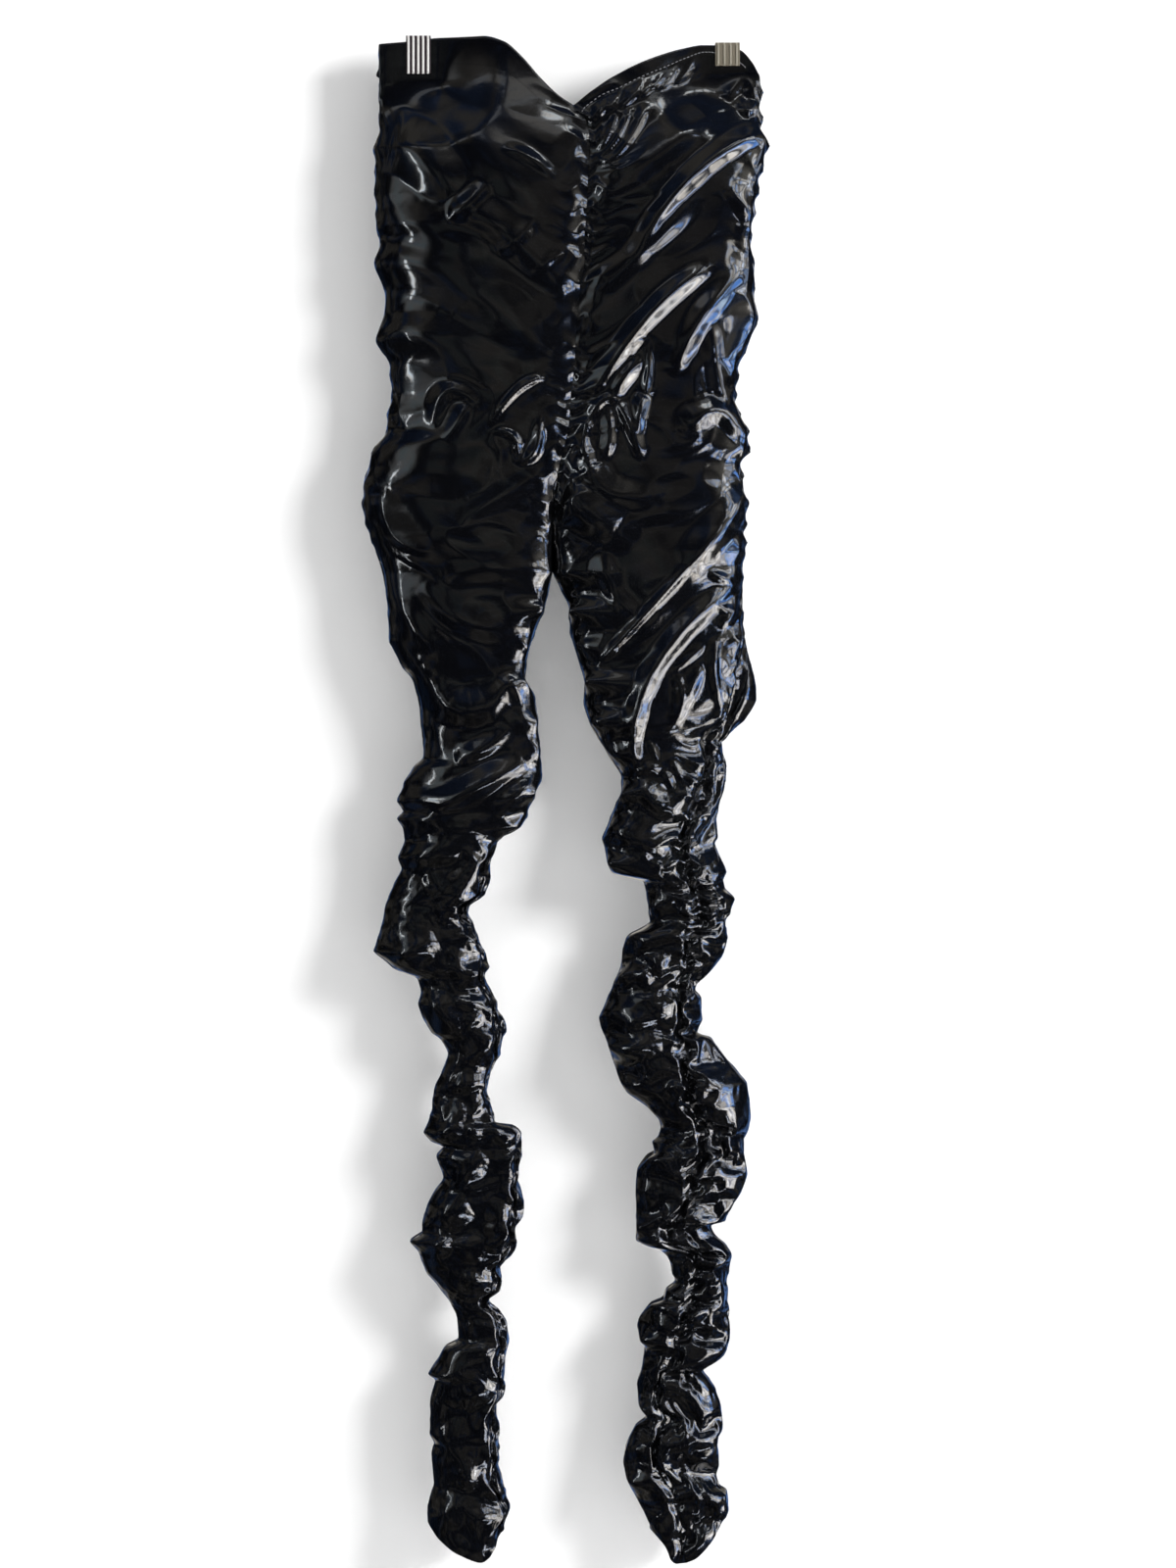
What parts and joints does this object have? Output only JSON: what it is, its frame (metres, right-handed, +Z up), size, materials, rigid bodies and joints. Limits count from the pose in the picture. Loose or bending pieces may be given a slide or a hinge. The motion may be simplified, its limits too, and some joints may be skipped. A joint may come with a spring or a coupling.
{
  "type": "ruched high-gloss trousers hung from two clips",
  "caption": "Black high-gloss stretch trousers with ruched seams and a dipped waist, hanging from spring clips at the corners of the waist.",
  "frame": {"origin": "midway between the two clips in X, level with the top of the waist's right corner, between the front and back cloth", "axes": "+X to the wearer's left, -Y out of the front, +Z up along the hang"},
  "size_m": [0.3317, 0.0676, 1.2421],
  "materials": {
    "patent_cloth": "high-gloss patent coating, creased",
    "clip_metal": "ribbed, bright on the ribs"
  },
  "bodies": {
    "root": {"front_right_hip": "patent_cloth", "front_right_thigh": "patent_cloth", "front_right_calf": "patent_cloth", "front_right_ankle": "patent_cloth", "front_left_hip": "patent_cloth", "front_left_thigh": "patent_cloth", "front_left_calf": "patent_cloth", "front_left_ankle": "patent_cloth", "back_right_hip": "patent_cloth", "back_right_thigh": "patent_cloth", "back_right_calf": "patent_cloth", "back_right_ankle": "patent_cloth", "back_left_hip": "patent_cloth", "back_left_thigh": "patent_cloth", "back_left_calf": "patent_cloth", "back_left_ankle": "patent_cloth", "waistband_front": "patent_cloth", "waistband_back": "patent_cloth", "clip_right": "clip_metal", "clip_left": "clip_metal"}
  },
  "joints": []
}
